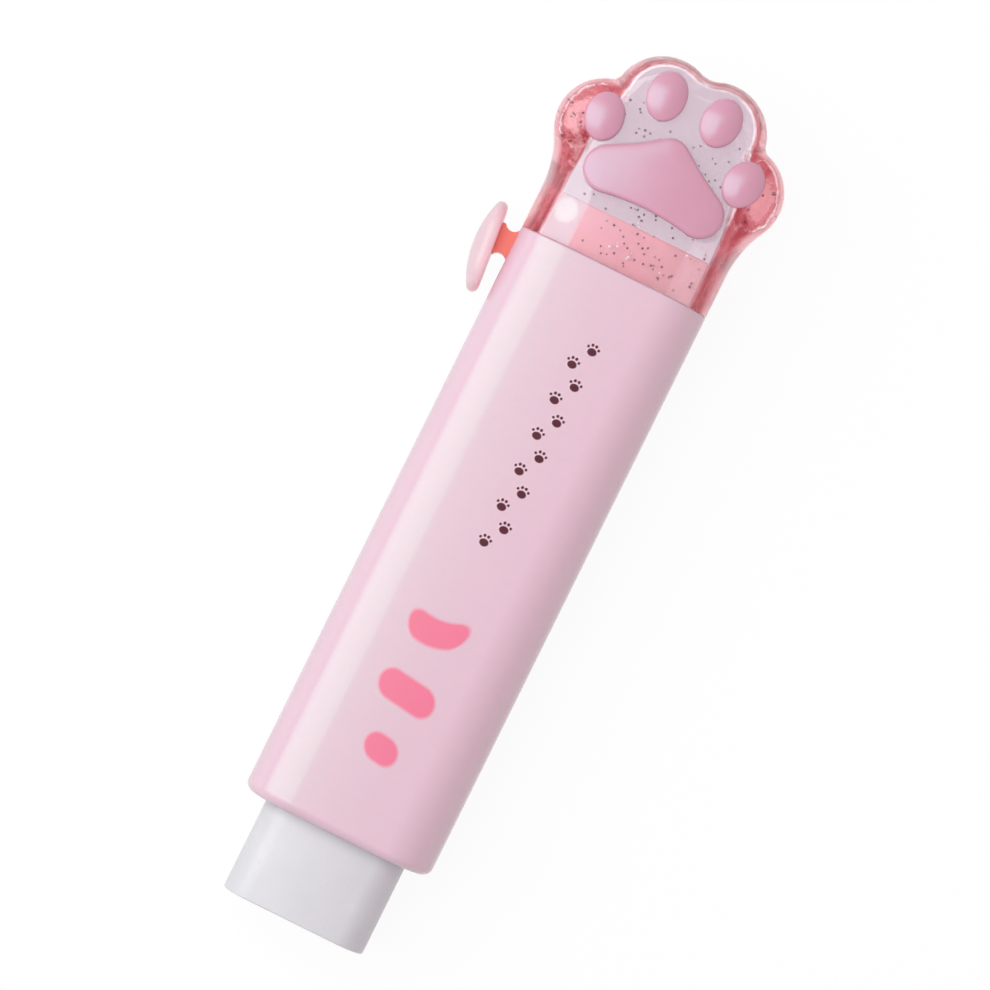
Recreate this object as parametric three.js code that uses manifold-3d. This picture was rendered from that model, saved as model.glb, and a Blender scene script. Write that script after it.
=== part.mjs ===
// A stick eraser in a pushed-along sleeve, with a clear cat-paw cap. Sizes are in millimetres.
//
// The eraser lies on its back. X runs across it, with the thumb slider on the low side. Y runs along
// it, from the rubber at the low end to the paw at the high end. Z rises out of its front. The origin
// is the middle of the sleeve's flat back.
//
// The sleeve is one moulded tube. The rubber stick stands in a cup at the top of the carriage, whose
// springy arm reaches the slot in the sleeve's side and carries the thumb slider. Pushing the slider
// down feeds the rubber out of the mouth until the cup meets the mouth's lip. The paw is a hollow clear
// moulding, held on the sleeve by a plug, and it pulls off so that a new rubber can be loaded.

import * as THREE from 'three';
import { mergeVertices } from 'three/addons/utils/BufferGeometryUtils.js';
import Module from 'manifold-3d';

// Rubber stick
const rubberWidth = 18.1;
const rubberThickness = 10.2;
const rubberCornerRadius = 3.4;
const rubberEndEdge = 0.2;
const rubberReach = 11.5;

// Carriage: the cup that holds the stick, and the arm and stem that the slider sits on
const cupSideWall = 0.95;
const cupFaceWall = 0.75;
const cupLength = 12;
const cupFloor = 1.2;
const cupEndEdge = 0.4;
const armWidth = 6.4;
const armFreeLength = 7;
const armSlit = 0.8;
const stemLength = 3.45;
const stemWidth = 3;
const stemBelowSleeveTop = 0.4;
const stemFlare = 0.45;
const tenonLength = 2.2;
const tenonWidth = 1.9;
const tenonDepth = 1.2;

// Sleeve
const sleeveLength = 73.2;
const sleeveWall = 1.7;
const sleeveCornerRadius = 6;
const sleeveTopEdge = 0.25;
const mouthEdgeRadius = 1.2;
const mouthInnerEdge = 0.5;
const lipLength = 3.5;

// Thumb slider
const sliderLength = 11.2;
const sliderWidth = 8.8;
const sliderPlanCorner = 3.6;
const sliderCrownRadius = 11;
const sliderRimRadius = 0.58;
const sliderGap = 1.75;
const sliderTilt = 0.097;
const sliderAboveSleeveTop = 1.85;

// Clear paw: circles round the toes, the creases between them, and the walls round the hollow
const sideToeRadius = 5.8;
const sideToeBulge = 2.27;
const sideToeHeight = 14.25;
const topToeRadius = 6.15;
const topToeSpread = 3.4;
const topToeHeight = 19.25;
const wristCreaseRadius = 12.2;
const sideCreaseRadius = 1.25;
const middleCreaseRadius = 3.05;
const toeEdgeRadius = 2.6;
const wristBlendStart = 5;
const wristBlendLength = 8;
const pawSideWall = 2.2;
const pawTopWall = 1.4;
const pawFaceWall = 1.7;
const hollowTopRaise = 0.4;
const hollowTopDrawIn = 0.15;
const hollowEdgeRadius = 0.5;

// Plug between paw and sleeve
const plugInPaw = 5.5;
const plugInSleeve = 5;
const plugWall = 1.2;
const plugInnerCorner = 0.3;

// Pads on the paw
const topPadWidth = 4.7;
const topPadLength = 5.95;
const topPadRise = 1.3;
const topPadOut = 0.1;
const topPadTurn = 0.06;
const sidePadWidth = 4.65;
const sidePadLength = 5.8;
const sidePadRise = 1.05;
const sidePadOut = 0.45;
const sidePadTurn = 0.16;
const palmWidth = 17.6;
const palmCornerRadius = 2.8;
const palmBelowSideToes = 4.3;
const palmApexRadius = 2.35;
const palmApexBelowTopToes = 5.05;
const palmFlankRadius = 40;
const palmFootRadius = 28;
const padCrown = 0.95;
const pocketDepth = 0.4;

// Clearances
const rubberFit = 0.15;
const slideClearance = 0.2;
const mouthClearance = 0.3;
const slotClearance = 0.2;
const endClearance = 0.3;
const tenonFit = 0.25;
const shoulderGap = 0.15;
const plugFit = 0.12;
const plugGap = 0.4;
const notchClearance = 0.3;
const padFit = 0.12;
const glueLine = 0.05;
const seam = 0.15;

// How far a cutting solid runs past the face that it cuts
const overcut = 1;

// Fineness of curves
const cornerSteps = 6;
const edgeSteps = 4;
const arcStep = THREE.MathUtils.degToRad(12);

// Sizes that follow: rubber, cup, bore and sleeve fit round each other
const rubberHalf = { x: rubberWidth / 2, z: rubberThickness / 2, r: rubberCornerRadius };
const cupBoreHalf = grown(rubberHalf, rubberFit);
const boreHalf = {
  x: cupBoreHalf.x + cupSideWall + slideClearance,
  z: cupBoreHalf.z + cupFaceWall + slideClearance,
  r: sleeveCornerRadius - sleeveWall
};
const cupHalf = grown(boreHalf, -slideClearance);
const sleeveHalf = grown(boreHalf, sleeveWall);
const mouthHalf = grown(rubberHalf, mouthClearance);

// Places along Y
const sleeveTop = sleeveLength / 2;
const mouth = -sleeveLength / 2;
const lipTop = mouth + lipLength;
const rubberTip = mouth - rubberReach;
const cupTop = sleeveTop - plugInSleeve - plugGap;
const cupBottom = cupTop - cupLength;
const rubberTop = cupTop - cupFloor - rubberFit;
const stemTop = sleeveTop - stemBelowSleeveTop;
const stemBottom = stemTop - stemLength;
const travel = cupBottom - lipTop - endClearance;
const slotBottom = stemBottom - stemFlare - travel - endClearance;
const middleZ = sleeveHalf.z;

const wasm = await Module();
wasm.setup();

// A section's half sizes and corner radius, all made larger by a margin
function grown(half, margin) {
  return { x: half.x + margin, z: half.z + margin, r: half.r + margin };
}

// A closed mesh as a solid that can be cut and joined, and back again
function toSolid(geometry) {
  const bare = geometry.clone();
  bare.deleteAttribute('normal');
  bare.deleteAttribute('uv');
  const welded = mergeVertices(bare, 1e-5);
  return new wasm.Manifold(new wasm.Mesh({
    numProp: 3,
    vertProperties: new Float32Array(welded.attributes.position.array),
    triVerts: new Uint32Array(welded.index.array)
  }));
}

function toGeometry(solid) {
  const mesh = solid.getMesh();
  const geometry = new THREE.BufferGeometry();
  geometry.setAttribute('position', new THREE.BufferAttribute(mesh.vertProperties, 3));
  geometry.setIndex(new THREE.BufferAttribute(mesh.triVerts, 1));
  geometry.computeVertexNormals();
  return geometry;
}

// Skins a stack of rings that have as many points each, and closes both ends with flat faces
function skin(rings) {
  const count = rings[0].length;
  const positions = rings.flat().flatMap((point) => point.toArray());
  const index = [];
  for (let ring = 0; ring + 1 < rings.length; ring += 1) {
    for (let i = 0; i < count; i += 1) {
      const a = ring * count + i;
      const b = ring * count + ((i + 1) % count);
      index.push(a, b, b + count, a, b + count, a + count);
    }
  }
  const last = (rings.length - 1) * count;
  const bottomFaces = THREE.ShapeUtils.triangulateShape(rings[0].map(flat), []);
  const topFaces = THREE.ShapeUtils.triangulateShape(rings[rings.length - 1].map(flat), []);
  bottomFaces.forEach(([a, b, c]) => index.push(c, b, a));
  topFaces.forEach(([a, b, c]) => index.push(last + a, last + b, last + c));
  const geometry = new THREE.BufferGeometry();
  geometry.setAttribute('position', new THREE.Float32BufferAttribute(positions, 3));
  geometry.setIndex(index);
  return geometry;
}

function flat(point) {
  return new THREE.Vector2(point.x, point.y);
}

// A rounded rectangle as a ring of points, at a height
function rectangleRing(half, height) {
  const ring = [];
  for (let corner = 0; corner < 4; corner += 1) {
    const sideX = corner === 0 || corner === 3 ? 1 : -1;
    const sideZ = corner < 2 ? 1 : -1;
    for (let k = 0; k <= cornerSteps; k += 1) {
      const angle = (corner + k / cornerSteps) * Math.PI / 2;
      const x = sideX * (half.x - half.r) + half.r * Math.cos(angle);
      const z = sideZ * (half.z - half.r) + half.r * Math.sin(angle);
      ring.push(new THREE.Vector3(x, z, height));
    }
  }
  return ring;
}

// A bar along Y through rounded-rectangle sections, each given as its place and half sizes
function bar(sections) {
  const geometry = skin(sections.map(([y, half]) => rectangleRing(half, y)));
  return geometry.rotateX(-Math.PI / 2);
}

// Sections that round a bar's end: the low end where side is 1, the high end where it is -1
function roundedEnd(y, half, radius, side, steps) {
  const sections = [];
  for (let k = 0; k <= steps; k += 1) {
    const angle = (k / steps) * Math.PI / 2;
    const inset = radius * (1 - Math.sin(angle));
    sections.push([y + side * radius * (1 - Math.cos(angle)), grown(half, -inset)]);
  }
  return side > 0 ? sections : sections.reverse();
}

function box(low, high) {
  const size = high.map((value, axis) => value - low[axis]);
  const centre = high.map((value, axis) => (value + low[axis]) / 2);
  return toSolid(new THREE.BoxGeometry(...size).translate(...centre));
}

// Points round an arc from one angle through a sweep, positive when counter-clockwise
function arc(circle, start, sweep) {
  const steps = Math.max(2, Math.ceil(Math.abs(sweep) / arcStep));
  const points = [];
  for (let k = 0; k <= steps; k += 1) {
    const angle = start + sweep * k / steps;
    const x = circle.x + circle.r * Math.cos(angle);
    const y = circle.y + circle.r * Math.sin(angle);
    points.push(new THREE.Vector2(x, y));
  }
  return points;
}

// The circle outside an outline that touches two of its circles, on the right of the way from a to b
function crease(a, b, radius) {
  const apart = Math.hypot(b.x - a.x, b.y - a.y);
  const fromA = a.r + radius;
  const fromB = b.r + radius;
  const along = (fromA ** 2 - fromB ** 2 + apart ** 2) / (2 * apart);
  const aside = Math.sqrt(fromA ** 2 - along ** 2);
  const ux = (b.x - a.x) / apart;
  const uy = (b.y - a.y) / apart;
  return { x: a.x + along * ux + aside * uy, y: a.y + along * uy - aside * ux, r: radius, hollow: true };
}

function angleTo(from, to) {
  return Math.atan2(to.y - from.y, to.x - from.x);
}

// An outline that runs counter-clockwise round a chain of touching circles. It turns left round a
// bulge and right round a hollow. An open chain starts and ends at the given angles.
function chain(circles, startAngle, endAngle) {
  const closed = startAngle === undefined;
  const points = [];
  circles.forEach((circle, i) => {
    const before = circles[(i + circles.length - 1) % circles.length];
    const after = circles[(i + 1) % circles.length];
    const start = !closed && i === 0 ? startAngle : angleTo(circle, before);
    const end = !closed && i === circles.length - 1 ? endAngle : angleTo(circle, after);
    const turn = THREE.MathUtils.euclideanModulo(end - start, 2 * Math.PI);
    const stretch = arc(circle, start, circle.hollow ? turn - 2 * Math.PI : turn);
    points.push(...(i === 0 && !closed ? stretch : stretch.slice(1)));
  });
  return points;
}

// The unit vector into an outline at each of its points
function inwards(points, closed) {
  return points.map((point, i) => {
    const before = points[i - 1] ?? (closed ? points[points.length - 1] : point);
    const after = points[i + 1] ?? (closed ? points[0] : point);
    const along = after.clone().sub(before).normalize();
    return new THREE.Vector2(-along.y, along.x);
  });
}

// A slab with its outline in XY and its edges rounded over by a radius that may change along them
function roundedSlab(points, halfThickness, radiusAt) {
  const inward = inwards(points, false);
  const ring = (side, angle) => points.map((point, i) => {
    const radius = radiusAt(point);
    const inset = radius * (1 - Math.cos(angle));
    const height = side * (halfThickness - radius * (1 - Math.sin(angle)));
    return new THREE.Vector3(point.x + inward[i].x * inset, point.y + inward[i].y * inset, height);
  });
  const angles = Array.from({ length: edgeSteps + 1 }, (unused, k) => (k / edgeSteps) * Math.PI / 2);
  const below = angles.map((angle) => ring(-1, angle)).reverse();
  const above = angles.map((angle) => ring(1, angle));
  return skin([...below, ...above]);
}

// A low dome over an outline: an upright foot, then a crown that closes towards the middle
function dome(points, foot, rise) {
  const middle = points.reduce((sum, point) => sum.add(point), new THREE.Vector2());
  middle.divideScalar(points.length);
  const ring = (share, height) => points.map((point) => {
    const at = middle.clone().lerp(point, share);
    return new THREE.Vector3(at.x, at.y, height);
  });
  const rings = [ring(1, 0)];
  for (let k = 0; k < edgeSteps + 2; k += 1) {
    const angle = (k / (edgeSteps + 2)) * Math.PI / 2;
    const share = 1 - (1 - Math.cos(angle)) * 0.9;
    rings.push(ring(share, foot + rise * Math.sin(angle) ** 0.9));
  }
  return skin(rings);
}

// The sleeve: a tube whose lip keeps the cup in, with a slot down its side that is open at the top
function makeSleeve() {
  const outside = toSolid(bar([
    ...roundedEnd(mouth, sleeveHalf, mouthEdgeRadius, 1, edgeSteps),
    ...roundedEnd(sleeveTop, sleeveHalf, sleeveTopEdge, -1, 1)
  ]));
  const bore = toSolid(bar([[lipTop, boreHalf], [sleeveTop + overcut, boreHalf]]));
  const opening = toSolid(bar([
    [mouth - overcut, grown(mouthHalf, mouthInnerEdge)],
    [mouth, grown(mouthHalf, mouthInnerEdge)],
    [mouth + mouthInnerEdge, mouthHalf],
    [lipTop + overcut, mouthHalf]
  ]));
  const halfSlot = stemWidth / 2 + slotClearance;
  const slotShape = new THREE.Shape();
  slotShape.moveTo(sleeveTop + overcut, -halfSlot);
  slotShape.lineTo(sleeveTop + overcut, halfSlot);
  slotShape.lineTo(slotBottom, halfSlot);
  slotShape.absarc(slotBottom, 0, halfSlot, Math.PI / 2, Math.PI * 1.5, false);
  const slotDepth = sleeveWall + 2 * overcut;
  const slot = new THREE.ExtrudeGeometry(slotShape, {
    depth: slotDepth,
    bevelEnabled: false,
    curveSegments: cornerSteps
  });
  const acrossX = new THREE.Matrix4().makeBasis(
    new THREE.Vector3(0, 1, 0), new THREE.Vector3(0, 0, 1), new THREE.Vector3(1, 0, 0)
  );
  slot.applyMatrix4(acrossX).translate(-sleeveHalf.x - overcut, 0, 0);
  return toGeometry(outside.subtract(bore).subtract(opening).subtract(toSolid(slot)));
}

// The rubber stick
function makeRubber() {
  return bar([
    ...roundedEnd(rubberTip, rubberHalf, rubberEndEdge, 1, 2),
    ...roundedEnd(rubberTop, rubberHalf, rubberEndEdge, -1, 2)
  ]);
}

// The carriage: a cup, an arm freed by slits so that it springs, and a stem with a waist and a tenon
function makeCarriage() {
  const cup = toSolid(bar([
    ...roundedEnd(cupBottom, cupHalf, cupEndEdge, 1, 1),
    ...roundedEnd(cupTop, cupHalf, cupEndEdge, -1, 1)
  ]));
  const cupBore = toSolid(bar([[cupBottom - overcut, cupBoreHalf], [cupTop - cupFloor, cupBoreHalf]]));
  const armInside = -cupBoreHalf.x;
  const slitBottom = cupTop - armFreeLength;
  const slitOutside = armWidth / 2 + armSlit;
  let carriage = cup.subtract(cupBore);
  [-1, 1].forEach((side) => {
    const edges = [side * armWidth / 2, side * slitOutside].sort((a, b) => a - b);
    const slit = box(
      [-cupHalf.x - overcut, slitBottom, edges[0]],
      [armInside + armSlit, cupTop + overcut, edges[1]]
    );
    carriage = carriage.subtract(slit);
  });
  const floorSlit = box(
    [armInside, cupTop - cupFloor - overcut, -slitOutside],
    [armInside + armSlit, cupTop + overcut, slitOutside]
  );
  carriage = carriage.subtract(floorSlit);
  const armSection = toSolid(bar([[cupTop - cupFloor, cupHalf], [stemTop, cupHalf]]));
  const armSpace = box(
    [-cupHalf.x - overcut, cupTop - cupFloor, -armWidth / 2],
    [armInside, stemTop, armWidth / 2]
  );
  carriage = carriage.add(armSection.intersect(armSpace));
  carriage = carriage.add(toSolid(stemGeometry(armInside)));
  const tenonStart = -sleeveHalf.x - sliderGap + overcut;
  const tenonMiddle = stemTop - stemLength / 2;
  const tenon = box(
    [-sleeveHalf.x - sliderGap - tenonDepth, tenonMiddle - tenonLength / 2, -tenonWidth / 2],
    [tenonStart, tenonMiddle + tenonLength / 2, tenonWidth / 2]
  );
  return toGeometry(carriage.add(tenon));
}

// The stem's outline from above, with a waist where it crosses the gap under the slider
function stemGeometry(armInside) {
  const gapStart = -sleeveHalf.x;
  const gapEnd = gapStart - sliderGap;
  const gapMiddle = (gapStart + gapEnd) / 2;
  const waistTop = stemTop - stemFlare;
  const waistBottom = stemBottom;
  const flareBottom = stemBottom - stemFlare;
  const shape = new THREE.Shape();
  shape.moveTo(armInside, flareBottom);
  shape.lineTo(armInside, stemTop);
  shape.lineTo(gapStart, stemTop);
  shape.quadraticCurveTo(gapMiddle, waistTop - stemFlare, gapEnd, stemTop);
  shape.lineTo(gapEnd, flareBottom);
  shape.quadraticCurveTo(gapMiddle, waistBottom + stemFlare, gapStart, flareBottom);
  const geometry = new THREE.ExtrudeGeometry(shape, {
    depth: stemWidth,
    bevelEnabled: false,
    curveSegments: cornerSteps
  });
  return geometry.translate(0, 0, -stemWidth / 2);
}

// The thumb slider: a pebble over a rounded plan, crowned outside and nearly flat inside
function makeSlider() {
  const plan = { x: sliderLength / 2, z: sliderWidth / 2, r: sliderPlanCorner };
  const rimPlace = plan.x - sliderRimRadius;
  const crownCentre = -Math.sqrt((sliderCrownRadius - sliderRimRadius) ** 2 - rimPlace ** 2);
  const shrunk = (share) => ({ x: plan.x * share, z: plan.z * share, r: plan.r * share });
  const rings = [];
  const rimAngle = Math.atan2(-crownCentre, rimPlace);
  for (let k = 0; k <= edgeSteps; k += 1) {
    const angle = -Math.PI / 2 + (rimAngle + Math.PI / 2) * k / edgeSteps;
    const share = (rimPlace + sliderRimRadius * Math.cos(angle)) / plan.x;
    rings.push(rectangleRing(shrunk(share), sliderRimRadius * Math.sin(angle)));
  }
  for (let k = 1; k <= edgeSteps; k += 1) {
    const angle = rimAngle + (Math.PI / 2 - rimAngle) * k / (edgeSteps + 1);
    const share = sliderCrownRadius * Math.cos(angle) / plan.x;
    rings.push(rectangleRing(shrunk(share), crownCentre + sliderCrownRadius * Math.sin(angle)));
  }
  const pebble = toSolid(skin(rings));
  const socket = box(
    [-tenonLength / 2 - tenonFit, -tenonWidth / 2 - tenonFit, -sliderRimRadius - overcut],
    [tenonLength / 2 + tenonFit, tenonWidth / 2 + tenonFit, tenonDepth - sliderRimRadius + tenonFit]
  );
  const stemFromMiddle = (stemTop - stemLength / 2) - (sleeveTop + sliderAboveSleeveTop - sliderLength / 2);
  const outwards = new THREE.Matrix4().makeBasis(
    new THREE.Vector3(0, 1, 0), new THREE.Vector3(0, 0, -1), new THREE.Vector3(-1, 0, 0)
  );
  const cut = pebble.subtract(socket.translate([stemFromMiddle, 0, 0]));
  return toGeometry(cut).applyMatrix4(outwards);
}

// The circles round the right-hand toes, measured from the middle of the wrist
const sideToe = {
  x: sleeveHalf.x + sideToeBulge - sideToeRadius,
  y: sideToeHeight,
  r: sideToeRadius
};
const topToe = { x: topToeSpread, y: topToeHeight, r: topToeRadius };

function mirrored(circle) {
  return { ...circle, x: -circle.x };
}

// Where the hollow's drafted side meets the round of its top
const hollowTop = {
  x: topToe.x - hollowTopDrawIn,
  y: topToe.y + hollowTopRaise,
  r: topToe.r - pawTopWall
};
const hollowFoot = { x: sleeveHalf.x - pawSideWall, y: 0 };
const footDistance = Math.hypot(hollowFoot.x - hollowTop.x, hollowFoot.y - hollowTop.y);
const draftAngle = angleTo(hollowTop, hollowFoot) + Math.acos(hollowTop.r / footDistance);
const draft = Math.tan(draftAngle);

function hollowHalfWidthAt(y) {
  return hollowFoot.x - y * draft;
}

// The clear paw's outline, from the right of the wrist over the toes to the left
function pawOutline() {
  const wristX = sleeveHalf.x;
  const reach = sideToe.r + wristCreaseRadius;
  const across = wristX + wristCreaseRadius - sideToe.x;
  const wristCrease = {
    x: wristX + wristCreaseRadius,
    y: sideToe.y - Math.sqrt(reach ** 2 - across ** 2),
    r: wristCreaseRadius,
    hollow: true
  };
  const circles = [
    wristCrease,
    sideToe,
    crease(sideToe, topToe, sideCreaseRadius),
    topToe,
    crease(topToe, mirrored(topToe), middleCreaseRadius),
    mirrored(topToe),
    crease(mirrored(topToe), mirrored(sideToe), sideCreaseRadius),
    mirrored(sideToe),
    mirrored(wristCrease)
  ];
  const toes = chain(circles, Math.PI, 0);
  const wrist = [];
  for (let k = 0; k < cornerSteps; k += 1) {
    wrist.push(new THREE.Vector2(wristX, wristCrease.y * k / cornerSteps));
  }
  const otherWrist = wrist.map((point) => new THREE.Vector2(-point.x, point.y)).reverse();
  return [...wrist, ...toes, ...otherWrist];
}

// The hollow's outline: drafted sides, and a top that keeps its wall under the two top toes
function hollowOutline() {
  const below = new THREE.Vector2(hollowHalfWidthAt(-overcut), -overcut);
  const circles = [
    hollowTop,
    crease(hollowTop, mirrored(hollowTop), middleCreaseRadius + pawTopWall),
    mirrored(hollowTop)
  ];
  const top = chain(circles, draftAngle, Math.PI - draftAngle);
  return [below, ...top, new THREE.Vector2(-below.x, below.y)];
}

// The clear paw: its edges are as round as the sleeve's at the wrist and tighter round the toes
function makePaw() {
  const edgeAt = (point) => {
    const blend = THREE.MathUtils.smoothstep(point.y, wristBlendStart, wristBlendStart + wristBlendLength);
    return THREE.MathUtils.lerp(sleeveCornerRadius, toeEdgeRadius, blend);
  };
  const outside = toSolid(roundedSlab(pawOutline(), sleeveHalf.z, edgeAt));
  const hollow = toSolid(roundedSlab(hollowOutline(), sleeveHalf.z - pawFaceWall, () => hollowEdgeRadius));
  let paw = outside.subtract(hollow);
  pads().forEach((pad) => {
    const pocket = skin([0, pocketDepth + overcut].map((height) => {
      return offset(pad.outline, padFit).map((point) => new THREE.Vector3(point.x, point.y, height));
    }));
    pocket.rotateZ(pad.turn).translate(pad.x, pad.y, sleeveHalf.z - pocketDepth);
    paw = paw.subtract(toSolid(pocket));
  });
  return toGeometry(paw);
}

// A closed outline moved outwards by a margin
function offset(points, margin) {
  const inward = inwards(points, true);
  return points.map((point, i) => point.clone().addScaledVector(inward[i], -margin));
}

function ellipse(width, length) {
  const points = new THREE.EllipseCurve(0, 0, width / 2, length / 2).getPoints(cornerSteps * 5);
  return points.slice(0, -1);
}

// A rounded triangle with a lightly hollowed foot and flanks
function palmOutline() {
  const right = {
    x: palmWidth / 2 - palmCornerRadius,
    y: sideToe.y - palmBelowSideToes,
    r: palmCornerRadius
  };
  const apex = { x: 0, y: topToe.y - palmApexBelowTopToes, r: palmApexRadius };
  const left = mirrored(right);
  return chain([
    right,
    crease(right, apex, palmFlankRadius),
    apex,
    crease(apex, left, palmFlankRadius),
    left,
    crease(left, right, palmFootRadius)
  ]);
}

// The four toe pads and the palm pad, each with its place from the middle of the wrist
function pads() {
  const toe = (x, y, width, length, turn) => ({ x, y, turn, outline: ellipse(width, length) });
  const sideX = sideToe.x + sidePadOut;
  const sideY = sideToe.y + sidePadRise;
  const topX = topToe.x + topPadOut;
  const topY = topToe.y + topPadRise;
  return [
    { name: 'toe_pad_1', ...toe(-sideX, sideY, sidePadWidth, sidePadLength, sidePadTurn) },
    { name: 'toe_pad_2', ...toe(-topX, topY, topPadWidth, topPadLength, topPadTurn) },
    { name: 'toe_pad_3', ...toe(topX, topY, topPadWidth, topPadLength, -topPadTurn) },
    { name: 'toe_pad_4', ...toe(sideX, sideY, sidePadWidth, sidePadLength, -sidePadTurn) },
    { name: 'palm_pad', x: 0, y: 0, turn: 0, outline: palmOutline() }
  ];
}

// The plug: a cup, open towards the sleeve, with a shoulder in the bore and a notch for the arm
function makePlug() {
  const inSleeve = grown(boreHalf, -plugFit);
  const hollowHalf = { z: sleeveHalf.z - pawFaceWall - plugFit, r: hollowEdgeRadius - plugFit };
  const inPawAt = (y) => ({ x: hollowHalfWidthAt(y) - plugFit, ...hollowHalf });
  const skirt = bar([[-seam - plugInSleeve, inSleeve], [-glueLine, inSleeve]]);
  const collar = bar([[glueLine - seam, inPawAt(0)], [0, inPawAt(0)], [plugInPaw, inPawAt(plugInPaw)]]);
  const insideSkirt = grown(inSleeve, -plugWall);
  const insideAt = (y) => ({ ...grown(inPawAt(y), -plugWall), r: plugInnerCorner });
  const hollowSkirt = bar([[-seam - plugInSleeve - overcut, insideSkirt], [-seam - plugWall, insideSkirt]]);
  const hollowCollar = bar([
    [-seam - plugWall - overcut, insideAt(0)],
    [plugInPaw - plugWall, insideAt(plugInPaw - plugWall)]
  ]);
  const notchHalf = armWidth / 2 + notchClearance;
  const notch = box(
    [-boreHalf.x - overcut, -seam - plugInSleeve - overcut, -notchHalf],
    [-cupBoreHalf.x + notchClearance, -stemBelowSleeveTop - seam + notchClearance, notchHalf]
  );
  const plug = toSolid(skirt).add(toSolid(collar)).subtract(toSolid(hollowSkirt));
  return toGeometry(plug.subtract(toSolid(hollowCollar)).subtract(notch));
}

// Finishes
const finishes = {
  pinkShell: new THREE.MeshStandardMaterial({ color: 0xeecfdb, roughness: 0.28, metalness: 0 }),
  clear: new THREE.MeshStandardMaterial({ color: 0xe3c0c8, roughness: 0.1, metalness: 0 }),
  salmon: new THREE.MeshStandardMaterial({ color: 0xf07a70, roughness: 0.3, metalness: 0 }),
  pad: new THREE.MeshStandardMaterial({ color: 0xe2a8c1, roughness: 0.55, metalness: 0 }),
  rubber: new THREE.MeshStandardMaterial({ color: 0xebeaee, roughness: 0.7, metalness: 0 })
};

function piece(parent, name, geometry, finish) {
  const mesh = new THREE.Mesh(geometry, finish);
  mesh.name = name;
  parent.add(mesh);
  return mesh;
}

// The whole eraser, on its back: the holder and the feed share the sleeve's middle line
const stickEraser = new THREE.Group();
const holder = new THREE.Group();
holder.position.z = middleZ;
stickEraser.add(holder);
piece(holder, 'sleeve', makeSleeve(), finishes.pinkShell);

const feed = new THREE.Group();
holder.add(feed);
piece(feed, 'eraser', makeRubber(), finishes.rubber);
piece(feed, 'carriage', makeCarriage(), finishes.salmon);
const slider = piece(feed, 'slider_cap', makeSlider(), finishes.pinkShell);
slider.position.x = -sleeveHalf.x - sliderGap - shoulderGap - sliderRimRadius;
slider.position.y = sleeveTop + sliderAboveSleeveTop - sliderLength / 2;
slider.rotation.z = sliderTilt;

// The cap: the paw and its plug are measured from the middle of the wrist
const cap = new THREE.Group();
cap.position.y = sleeveTop + seam;
holder.add(cap);
piece(cap, 'paw_shell', makePaw(), finishes.clear);
piece(cap, 'paw_plug', makePlug(), finishes.salmon);
pads().forEach((pad) => {
  const height = padCrown + pocketDepth - glueLine;
  const geometry = dome(pad.outline, pocketDepth, height - pocketDepth);
  const mesh = piece(cap, pad.name, geometry, finishes.pad);
  mesh.position.set(pad.x, pad.y, sleeveHalf.z - pocketDepth + glueLine);
  mesh.rotation.z = pad.turn;
});

export default stickEraser;
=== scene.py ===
# %% [markdown]
# # A push-out stick eraser with a clear cat-paw cap
#
# The eraser is a flat pink tube with a white rubber stick in it. A thumb slider on its side feeds the
# stick out. The cap at the other end is a clear, hollow paw with five soft pink pads and a salmon plug.
#
# The measured parts are loaded first. They fix where every piece is, and all that follows is built on
# top of them, in the same place. Lengths below are in millimetres, and `MM` turns them into metres.

# %% Load the measured parts
import math
import random

import bmesh
import bpy
from mathutils import Matrix, Vector


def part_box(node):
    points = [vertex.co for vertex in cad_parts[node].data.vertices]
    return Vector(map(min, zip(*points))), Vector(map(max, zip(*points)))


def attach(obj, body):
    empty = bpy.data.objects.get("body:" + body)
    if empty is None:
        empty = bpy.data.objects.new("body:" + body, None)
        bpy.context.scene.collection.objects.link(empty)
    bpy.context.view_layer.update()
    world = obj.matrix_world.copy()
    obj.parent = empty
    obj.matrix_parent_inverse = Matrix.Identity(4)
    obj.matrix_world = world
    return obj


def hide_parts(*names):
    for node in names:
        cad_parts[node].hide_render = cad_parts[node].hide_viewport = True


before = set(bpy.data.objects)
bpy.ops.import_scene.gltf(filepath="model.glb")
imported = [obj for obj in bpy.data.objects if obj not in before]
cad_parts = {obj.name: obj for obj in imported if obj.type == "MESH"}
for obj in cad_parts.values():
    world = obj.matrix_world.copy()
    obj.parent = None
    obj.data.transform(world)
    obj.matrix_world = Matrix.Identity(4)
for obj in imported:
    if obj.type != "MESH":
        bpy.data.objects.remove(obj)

MM = 0.001
scene = bpy.context.scene
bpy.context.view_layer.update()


def corners(node):
    """The lowest and highest corner of a measured part, in millimetres."""
    low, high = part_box(node)
    return Vector(low) / MM, Vector(high) / MM


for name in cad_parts:
    low, high = corners(name)
    print(name, [round(v, 1) for v in low], [round(v, 1) for v in high])

# %% [markdown]
# The camera hangs straight above the eraser, because the picture looks down at right angles. It is
# turned about its own line of sight, which makes the eraser lean. A long lens keeps the sides of the
# tube parallel. The camera comes first, so that each new piece can be looked at as soon as it is made.

# %% Camera
camera = bpy.data.objects.new("camera", bpy.data.cameras.new("camera"))
scene.collection.objects.link(camera)
camera.location = Vector((-0.88, 7.07, 527.9)) * MM
camera.rotation_euler = (0, 0, math.radians(26.35))
camera.data.sensor_width = 36
camera.data.lens = 160.7
camera.data.clip_start = 0.01
scene.camera = camera
print("camera", [round(v, 3) for v in camera.location], "lens", camera.data.lens)

# %% [markdown]
# Nearly every piece starts as a cube or a single point and is shaped in edit mode. An edit acts on all
# that is selected, so a helper first clears the selection, then picks edges or faces by where they are.
# Working by place, and not by number, keeps the script right when a piece gets more faces.

# %% Helpers that start a piece and pick parts of it
def mode(name):
    bpy.ops.object.mode_set(mode=name)


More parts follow.
